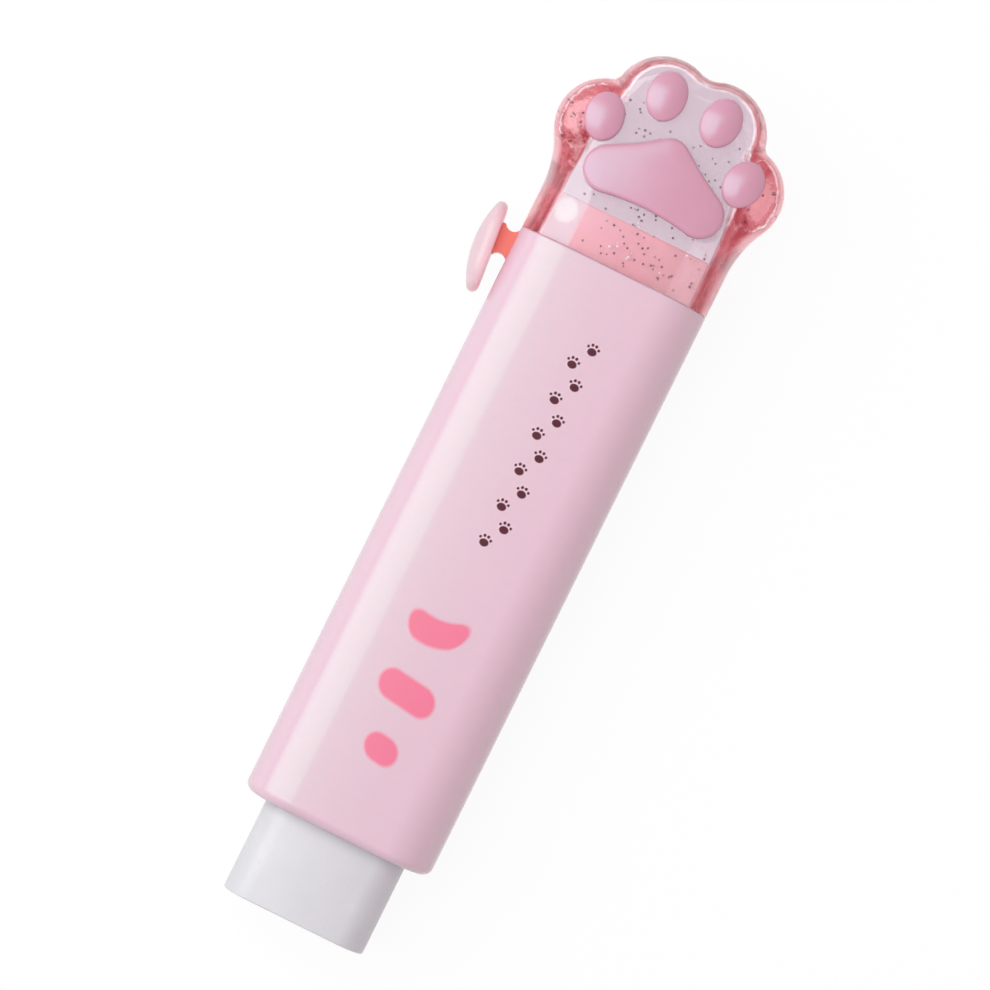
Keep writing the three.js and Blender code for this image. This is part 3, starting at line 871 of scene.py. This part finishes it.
# %% The paw's hollow
face_wall = 1.7
top_wall = 1.4
hollow_round = 0.5
hollow_top = (top_toe[0] - 0.15, top_toe[1] + 0.4, top_toe[2] - top_wall)
hollow_foot = (half_width - 2.2, 0)
draft = 0.035
knee_height = 12.8
knee = (hollow_foot[0] - knee_height * draft, knee_height)
knee_distance = math.hypot(knee[0] - hollow_top[0], knee[1] - hollow_top[1])
reach = math.radians(bearing(hollow_top, knee)) + math.acos(hollow_top[2] / knee_distance)
upper_draft = math.tan(reach)


def hollow_half_width(above_wrist):
    return hollow_foot[0] - above_wrist * draft


hollow = one_point("hollow", hollow_half_width(-1), paw_y - 1)
line_to(knee[0], paw_y + knee[1])
line_to(hollow_top[0] + hollow_top[2] * math.cos(reach),
        paw_y + hollow_top[1] + hollow_top[2] * math.sin(reach))
hollow_crease = touching(hollow_top, other_side(hollow_top), middle_crease_radius + top_wall)
follow([hollow_top, hollow_crease], [False, True], -90)
mirror_outline(hollow)
round_over(hollow, middle_z - face_wall, lambda y: hollow_round, 4)
join_or_cut(paw, hollow, 'DIFFERENCE')
pick(paw, 'FACE', lies_at(1, paw_y))
bpy.ops.transform.translate(value=(0, -0.1 * MM, 0))
mode('OBJECT')
print("hollow cut, faces", len(paw.data.polygons), "half width", round(hollow_half_width(0), 2))

# %% [markdown]
# ## The pads
#
# Four toe pads and a palm pad sit in shallow pockets in the paw's face. They are cast in a soft, matt
# pink and stand up as low domes. A toe pad is an ellipse: a circle drawn by spinning a point, then
# stretched. The palm pad is a rounded triangle with long, slightly hollow sides, drawn with touching
# circles as the paw is. The toe pads rise as the slider's crown does. The palm's face is inset instead,
# so that its round edge is equally wide on the long sides and at the corners.

# %% Outlines of the pads
pad_fit = 0.12
pocket_depth = 0.4
pad_top = pocket_depth + 0.89
glue = 0.05
pad_foot = 2 * middle_z - pocket_depth + glue


def toe_outline(name, centre, width, length, turn, margin, height):
    """An ellipse in edit mode, with a margin round it."""
    piece = one_point(name, 1, 0, height)
    turn_about((0, 0), 360, 7.5)
    mode('OBJECT')
    stretch = Matrix.Diagonal((width / 2 + margin, length / 2 + margin, 1, 1))
    place = Matrix.Translation(Vector((centre[0], centre[1] + paw_y, 0)) * MM)
    piece.matrix_world = place @ Matrix.Rotation(turn, 4, 'Z') @ stretch
    activate(piece)
    apply_place()
    mode('EDIT')
    return piece


def palm_outline(name, margin, height):
    """The palm's rounded triangle in edit mode, drawn on the right and mirrored."""
    corner = (17.6 / 2 - 2.8, side_toe[1] - 4.3, 2.8 + margin)
    apex = (0, top_toe[1] - 5.05, 2.35 + margin)
    flank = touching(corner, apex, 40 - margin)
    foot = touching(other_side(corner), corner, 28 - margin)
    piece = one_point(name, 0, foot[1] + foot[2] + paw_y, height)
    foot_turn = 90 - bearing(foot, corner)
    turn_about((foot[0], foot[1] + paw_y), -foot_turn, 2)
    follow([corner, flank, apex], [False, True, False], 90, 6)
    mirror_outline(piece)
    return piece


side_place = (side_toe[0] + 0.45, side_toe[1] + 1.05)
top_place = (top_toe[0] + 0.1, top_toe[1] + 1.3)
toe_pads = [
    ("toe_pad_1", (-side_place[0], side_place[1]), 4.65, 5.8, 0.16),
    ("toe_pad_2", (-top_place[0], top_place[1]), 4.7, 5.95, 0.06),
    ("toe_pad_3", top_place, 4.7, 5.95, -0.06),
    ("toe_pad_4", side_place, 4.65, 5.8, -0.16),
]
for name, centre, width, length, turn in toe_pads:
    pocket = toe_outline("pocket", centre, width, length, turn, pad_fit, 2 * middle_z - pocket_depth)
    close_and_raise(pocket_depth + 1)
    join_or_cut(paw, pocket, 'DIFFERENCE')
pocket = palm_outline("pocket", pad_fit, 2 * middle_z - pocket_depth)
close_and_raise(pocket_depth + 1)
join_or_cut(paw, pocket, 'DIFFERENCE')
print("pockets cut, faces", len(paw.data.polygons))

# %% [markdown]
# ## Satin pad plastic
#
# The pads are a cooler, deeper pink than the tube and have a satin skin: broad, soft highlights and a
# very fine grain. A bump carries the last, slight crown, with one radius for the toes and one for the
# palm.

# %% Satin pink
def satin_finish(name, crown_radius, crown_middle):
    """Satin pink, with a crown too low to model: a radius across the piece, in millimetres."""
    satin = Finish(name, {
        "IOR": 1.5,
        "Specular IOR Level": 0.8,
        "Specular Tint": (0.25, 0.95, 1.0, 1.0),
        **scatter(0.15, (1.0, 0.5, 0.6), 1.2),
    })
    tone = satin.noise(3, detail=3)
    satin.feed("Base Color", satin.blend(tone, paint(213, 150, 172), paint(218, 157, 178)))
    satin.feed("Roughness", satin.noise(2.5, detail=2) * 0.04 + 0.23)
    across = satin.place()[0] - crown_middle
    crown = satin.bump(across * across * (-0.5 / crown_radius), 1)
    satin.feed("Normal", satin.bump(satin.noise(0.4, detail=1), 0.0012, crown))
    print(name, len(satin.tree.nodes), "nodes")
    return satin.material


toe_satin = satin_finish("satin_toe_pink", 5000, 0)
palm_satin = satin_finish("satin_palm_pink", 60, -1.3)

# %% Domes over the outlines
def dome_profile(foot, top, edge, edge_height, reach, steps):
    """How far in and how high a low dome is: an upright foot, a small round edge, then the crown."""
    profile = [(0, 0), (0, foot)]
    for k in range(1, 5):
        angle = math.radians(16 * k)
        profile.append((edge * (1 - math.cos(angle)), foot + edge_height * math.sin(angle)))
    inwards, height = profile[-1]
    for k in range(1, steps + 1):
        share = k / steps
        profile.append((inwards + (reach - inwards) * share,
                        height + (top - height) * (1 - (1 - share) ** 2)))
    return profile


for name, centre, width, length, turn in toe_pads:
    pad = toe_outline("soft_" + name, centre, width, length, turn, 0, pad_foot)
    fill_outline()
    profile = dome_profile(pocket_depth, pad_top, 0.17, 0.4, 0.94, 9)
    shares = [(1 - inwards, height) for inwards, height in profile]
    grow_through(pad, shares, (centre[0], centre[1] + paw_y, 0))
    complete(pad, "cap", name, toe_satin, crease=50)

# %% The palm pad, whose edge keeps the same width all round
palm = palm_outline("soft_palm_pad", 0, pad_foot)
fill_outline()
profile = dome_profile(pocket_depth + 0.3, pad_top, 0.45, 0.5, 1.9, 8)
raise_face(profile[1][1])
for (inwards, height), (next_inwards, next_height) in zip(profile[1:], profile[2:]):
    bpy.ops.mesh.inset(thickness=(next_inwards - inwards) * MM, depth=0)
    bpy.ops.transform.translate(value=(0, 0, (next_height - height) * MM))
complete(palm, "cap", "palm_pad", palm_satin, crease=50)

# %% [markdown]
# ## Salmon plug
#
# The plug is a cup, open towards the sleeve. Its upper half fills the paw's wrist and its lower half
# grips the sleeve's bore. Behind the clear wall it reads as a soft salmon band. It is built from two
# rounded bars, the upper one drawn in at its end to follow the paw's draft, and hollowed by two more. Its
# colour gets lighter towards the top. Much of the rest is painted light and shade: it is paler on the
# left, towards the lamp, and deeper on the right, away from it; a pale strip on the left with a paler
# patch in it is a painted reflection of the lamp; and a little emission, strongest at the sides and the
# seam, is painted light that keeps those shaded places, and the seam, from turning dark.

# %% The plug
plug_fit = 0.12
plug_wall = 1.2
plug_in_paw = 5.5
skirt_half = (bore_half[0] - plug_fit, bore_half[1] - plug_fit)


def drafted_bar(name, margin, from_y, to_y, radius):
    """A bar that follows the hollow's drafted sides, smaller by a margin."""
    half_depth = middle_z - face_wall - margin
    wide = hollow_half_width(from_y - paw_y) - margin
    narrow = hollow_half_width(to_y - paw_y) - margin
    bar = block(name, (-wide, from_y, middle_z - half_depth), (wide, to_y, middle_z + half_depth))
    pick(bar, 'FACE', lies_at(1, to_y))
    bpy.ops.transform.resize(value=(narrow / wide, 1, 1), center_override=(0, to_y * MM, middle_z * MM))
    mode('OBJECT')
    round_edges(bar, lambda edge: not lies_at(1, from_y, to_y)(edge), radius, 8)
    return bar


skirt_bottom = sleeve_top - 5
skirt_top = paw_y - 0.05
plug = drafted_bar("salmon_plug", plug_fit, paw_y - 0.1, paw_y + plug_in_paw, hollow_round - plug_fit)
round_edges(plug, lies_at(1, paw_y + plug_in_paw), 0.3, 3)
join_or_cut(plug, rounded_bar("skirt", skirt_half, skirt_bottom, skirt_top, 4.18), 'UNION')
inside_skirt = (skirt_half[0] - plug_wall, skirt_half[1] - plug_wall)
bore_top = sleeve_top - plug_wall
skirt_bore = rounded_bar("skirt_bore", inside_skirt, skirt_bottom - 1, bore_top, 2.98)
join_or_cut(plug, skirt_bore, 'DIFFERENCE')
collar_bore = drafted_bar("collar_bore", plug_fit + plug_wall, bore_top - 1,
                          paw_y + plug_in_paw - plug_wall, 0.3)
join_or_cut(plug, collar_bore, 'DIFFERENCE')
notch = block("notch", (-bore_half[0] - 1, skirt_bottom - 1, middle_z - 3.5),
              (-stick_half[0] + 0.3, sleeve_top - 0.1, middle_z + 3.5))
join_or_cut(plug, notch, 'DIFFERENCE')
plug_pink = Finish("salmon_plug_plastic", {
    "IOR": 1.5,
    **scatter(0.3, (1.0, 0.45, 0.45), 1.5),
    "Emission Strength": 0.35,
})
x, y, z = plug_pink.place()
drift = plug_pink.noise(3.5, detail=3, stretch=(0.6, 1.6, 1))
rise_share = ((y - paw_y) * 0.14 - x * 0.02 + drift * 0.4 - 0.25).clamped()
body = plug_pink.blend(rise_share, paint(224, 136, 148), paint(236, 172, 179))
# Painted light and shade: paler on the left, towards the lamp, and deeper on the right, away from it.
painted_light_left = plug_pink.blend(rise_share, paint(236, 164, 174), paint(242, 192, 198))
painted_shade_right = plug_pink.blend(rise_share, paint(196, 112, 120), paint(205, 130, 136))
body = plug_pink.blend((x * (-1 / 6)).clamped(), body, painted_light_left)
right_shade_share = ((x - 2) * (1 / 6)).clamped()
body = plug_pink.blend(right_shade_share, body, painted_shade_right)
# Painted light: emission lifts the shade at the plug's sides and the seam, and less over its front, but not
# on the lamp's reflection strip.
painted_light_at_sides = ((9.3 - abs(x)).inside(0.3) * (z - 13.7).inside(0.3)).most((y - paw_y).inside(0.2))
lamp_reflection_strip = (x + 6.2).inside(0.3)
painted_front_light = plug_pink.blend(right_shade_share, paint(136, 50, 46), paint(60, 20, 20))
painted_front_light = plug_pink.blend(lamp_reflection_strip, painted_front_light, paint(0, 0, 0))
plug_pink.feed("Emission Color", plug_pink.blend(painted_light_at_sides, painted_front_light, paint(250, 190, 195)))
# Painted reflection: a pale strip on the left, with a paler patch in it, where the paw's round wrist
# mirrors the lamp.
painted_reflection = lamp_reflection_strip * (13.5 - z).inside(0.3)
painted_highlight_patch = (far((x + 8.0) * 1.2, y - paw_y - 3.7) - 1.5).inside(0.5) * painted_reflection
pale = plug_pink.blend(painted_highlight_patch, paint(218, 189, 197), paint(236, 243, 237))
plug_pink.feed("Base Color", plug_pink.blend(painted_reflection, body, pale))
plug_pink.feed("Roughness", plug_pink.noise(2, detail=3) * 0.1 + 0.3)
plug_pink.feed("Normal", plug_pink.bump(plug_pink.noise(4, detail=1), 0.006))
complete(plug, "cap", "paw_plug", plug_pink.material)

# %% [markdown]
# ## Clear plastic
#
# Clear plastic bends light, so its shader lets light through and its index of refraction does the rest.
# Where the paw is hollow, two thin walls show the pale ground, a little paler towards the wrist. Where it
# is solid, at the rim and the side toes, light runs a long way through tinted plastic and comes out red.
# One material does both: its tint follows the outline of the hollow. A bright line inside that outline,
# with white glints, and a broken dark one outside it are painted reflections of the lamp and the table.
# More light and shade is painted too: a pale band at the very edge and a lighter heart in each side toe
# are painted light, the neck under each side toe is painted shade, and a faint red glow lifts the solid
# rim's darkest parts.

# %% Clear plastic
clear = Finish("clear_pink_plastic", {
    "IOR": 1.49,
    "Transmission Weight": 0.86,
    "Emission Strength": 0.2,
})
x, y = clear.place()[:2]
up = y - paw_y
side_line = abs(x) + up * draft - hollow_foot[0]
side_line = side_line.most(abs(x) + (up - knee[1]) * upper_draft - knee[0])
lobe = far(abs(x) - hollow_top[0], up - hollow_top[1]) - hollow_top[2]
low_part = side_line.most(up - hollow_top[1])
notch = (hollow_crease[2] - far(x, up - hollow_crease[1])).most(abs(x) - 1.55)
notch = notch.most(up - hollow_crease[1])
window_edge = low_part.least(lobe).least(notch)
window = window_edge.inside(0.3)
# Painted reflections: a bright line just inside the hollow's edge, with white glints along it, and a broken
# dark line just outside it.
lamp_reflection_line = (abs(window_edge + 0.22) - 0.14).inside(0.2) * (12.5 - up).inside(3)
painted_glints = lamp_reflection_line * (clear.noise(1.8, detail=2) * 7 - 3.2).clamped()
breaks = (clear.noise(2.4, detail=1) * 2 - 0.3).clamped()
dark_reflection_line = (abs(window_edge - 0.42) - 0.16).inside(0.36) * breaks
side_outline = far(abs(x) - side_toe[0], up - side_toe[1]) - side_toe[2]
top_outline = far(abs(x) - top_toe[0], up - top_toe[1]) - top_toe[2]
wrist_outline = wrist_round - far(wrist_crease[0] - abs(x), (up - wrist_crease[1]).most(0))
outline = side_outline.least(top_outline).least(wrist_outline.most(up - 13))
# Painted light: a pale band along the very edge, and a lighter heart in each side toe.
painted_pale_edge = (outline * -1 - 0.75).inside(0.5)
toe_heart_light = (far((abs(x) - 11.9) * 2.3, up - 14.8) - 3.2).inside(0.9)
streaks = clear.noise(1.1, detail=3, stretch=(0.8, 2.2, 2))
streak_mask = (streaks * 4 - 1.5).clamped()
veil = clear.blend(clear.noise(6, detail=3), paint(231, 220, 228), paint(238, 230, 236))
veil = clear.blend(((up - 8) * -0.2).clamped(), veil, paint(242, 233, 239))
deep = clear.blend(streak_mask, paint(182, 66, 80), paint(228, 138, 146))
# Painted shade: the neck below each side toe is a deeper, darker red.
neck_shade = (far((abs(x) - 10.5) * 0.8, up - 11.4) - 1.7).inside(1.6) * (1 - streak_mask * 0.6)
deep = clear.blend(neck_shade * 0.75, deep, paint(150, 38, 50))
rim_red = clear.blend(toe_heart_light * 0.8, deep, paint(233, 163, 172))
rim_red = clear.blend(painted_pale_edge * 0.85, rim_red, paint(250, 232, 234))
rim_red = clear.blend(dark_reflection_line * 0.8, rim_red, paint(168, 62, 76))
veil = clear.blend(lamp_reflection_line, veil, paint(255, 252, 253))
clear.feed("Base Color", clear.blend(window, rim_red, veil))
# Painted light: the solid rim glows faintly red, which lifts its darkest parts, and the glints glow white.
painted_glint_light = clear.blend(painted_glints, paint(0, 0, 0), paint(255, 246, 249))
clear.feed("Emission Color", clear.blend(window, paint(111, 49, 56), painted_glint_light))
clear.feed("Roughness", clear.noise(2, detail=3) * 0.02 + 0.01)
solid_part = (1 - window) * (outline + 0.7).inside(0.7)
swirls = clear.bump(clear.noise(1.6, detail=2, stretch=(1.3, 0.7, 1)) * solid_part, 0.2)
clear.feed("Normal", clear.bump(clear.noise(4, detail=1), 0.006, swirls))
complete(paw, "cap", "paw_shell", clear.material)
paw.visible_shadow = False

# %% [markdown]
# ## Glitter
#
# Small flakes are cast into the clear front, and a few into the side toes. One flake is modelled, a thin
# six-sided plate, and copies of it are strewn with a fixed start for the random numbers, so that every
# run gives the same glitter. The copies are then joined to one piece.

# %% Glitter
random.seed(7)
deselect_all()
bpy.ops.mesh.primitive_cylinder_add(vertices=6, radius=0.125 * MM, depth=0.02 * MM)
mode('EDIT')
select_whole()
bpy.ops.mesh.bevel(offset=0.004 * MM, segments=1)
mode('OBJECT')
flake = bpy.context.object
flake.name = "glitter_flakes"
flakes = []
while len(flakes) < 170:
    zone = random.random()
    if zone < 0.5:
        place = random.gauss(1.4, 4.0), random.uniform(0.7, 8.4), random.uniform(14.35, 15.1)
    elif zone < 0.88:
        place = random.uniform(-8, 8), random.uniform(12.6, 19), random.uniform(14.35, 15.1)
    else:
        across = random.choice((-1, 1)) * random.uniform(10.8, 12.6)
        place = across, random.uniform(11, 16), random.uniform(9, 13)
    across, above, depth = place
    reach = 8.6 if depth > 14 else 13
    spot = Vector((max(-reach, min(reach, across)), paw_y + above, depth))
    copy = flake.copy()
    copy.data = flake.data.copy()
    scene.collection.objects.link(copy)
    size = random.uniform(0.8, 1.4)
    turn = Matrix.Rotation(random.uniform(0, 6.3), 4, 'Z')
    tip = Matrix.Rotation(random.gauss(0, 0.2), 4, 'X')
    copy.matrix_world = Matrix.Translation(spot * MM) @ turn @ tip @ Matrix.Scale(size, 4)
    flakes.append(copy)
deselect_all()
for copy in flakes:
    copy.select_set(True)
bpy.context.view_layer.objects.active = flakes[0]
bpy.ops.object.join()
glitter = bpy.context.object
apply_place()
bpy.data.objects.remove(flake)
glitter.name = "glitter_flakes"
sparkle = Finish("glitter_foil", {"IOR": 1.5})
tone = sparkle.noise(1.1, detail=0)
light_ones = (tone - 0.62).math('MULTIPLY', 12, clamp=True)
sparkle.feed("Base Color", sparkle.blend(light_ones, paint(82, 6, 30), paint(252, 240, 246)))
sparkle.feed("Roughness", sparkle.noise(0.5) * 0.2 + 0.5)
complete(glitter, "cap", None, sparkle.material)

# %% [markdown]
# ## Floor and light
#
# The eraser lies on a plain, pale floor that glows a little, so that the ground stays white and the
# shadows stay faint. One large soft light hangs over the left, with its edge nearly overhead, and gives
# the long highlight on the tube's round edge. A second one shows only in reflections and sharpens that
# highlight. A weak pink card warms the right side, and an even surround fills the rest.

# %% Floor
deselect_all()
bpy.ops.mesh.primitive_plane_add(size=3, location=(0, 0, -0.00003))
floor = bpy.context.object
floor.name = "floor"
ground = Finish("pale_floor", {"Roughness": 0.9, "Base Color": (0.8, 0.8, 0.8, 1)})
glow = ground.node("ShaderNodeEmission", {}, {"Color": (1, 1, 1, 1), "Strength": 1.02})
output = ground.tree.nodes["Material Output"]
mixed = ground.node("ShaderNodeMixShader", {}, {
    0: 0.9,
    1: Flow(ground, ground.shader.outputs[0]),
    2: glow,
})
ground.tree.links.new(mixed.socket, output.inputs["Surface"])
floor.data.materials.append(ground.material)
floor.visible_diffuse = False

# %% Lights
def soft_light(name, near, away, y_range, brightness):
    """A flat panel of light between two edges, given as X and Z, that faces the eraser."""
    across = Vector((near[0] - away[0], 0, near[1] - away[1]))
    along = Vector((0, 1, 0))
    back = across.normalized().cross(along)
    middle = Vector(((near[0] + away[0]) / 2, sum(y_range) / 2, (near[1] + away[1]) / 2))
    data = bpy.data.lights.new(name, 'AREA')
    data.shape = 'RECTANGLE'
    data.size, data.size_y = across.length * MM, (y_range[1] - y_range[0]) * MM
    data.energy = brightness * math.pi * data.size * data.size_y
    lamp = bpy.data.objects.new(name, data)
    scene.collection.objects.link(lamp)
    turn = Matrix((across.normalized(), along, back)).transposed().to_4x4()
    lamp.matrix_world = Matrix.Translation(middle * MM) @ turn
    lamp.visible_camera = False
    return lamp


softbox = soft_light("softbox", (-12, 340), (-480, 120), (-110, 150), 2.4)
gloss = soft_light("gloss_light", (-40, 336), (-480, 198), (-110, 150), 1.0)
gloss.visible_diffuse = False
card = soft_light("pink_card", (160, 10), (70, 90), (-45, 60), 0.45)
card.data.color = (1.0, 0.3, 0.45)
world = bpy.data.worlds.new("surround")
scene.world = world
world.use_nodes = True
surround = world.node_tree.nodes["Background"]
surround.inputs["Color"].default_value = (1, 1, 1, 1)
surround.inputs["Strength"].default_value = 0.55
cycles = scene.cycles
cycles.max_bounces = 32
cycles.glossy_bounces = cycles.transmission_bounces = 24
scene.view_settings.view_transform = 'Standard'
print("softbox", softbox.data.energy, "W")
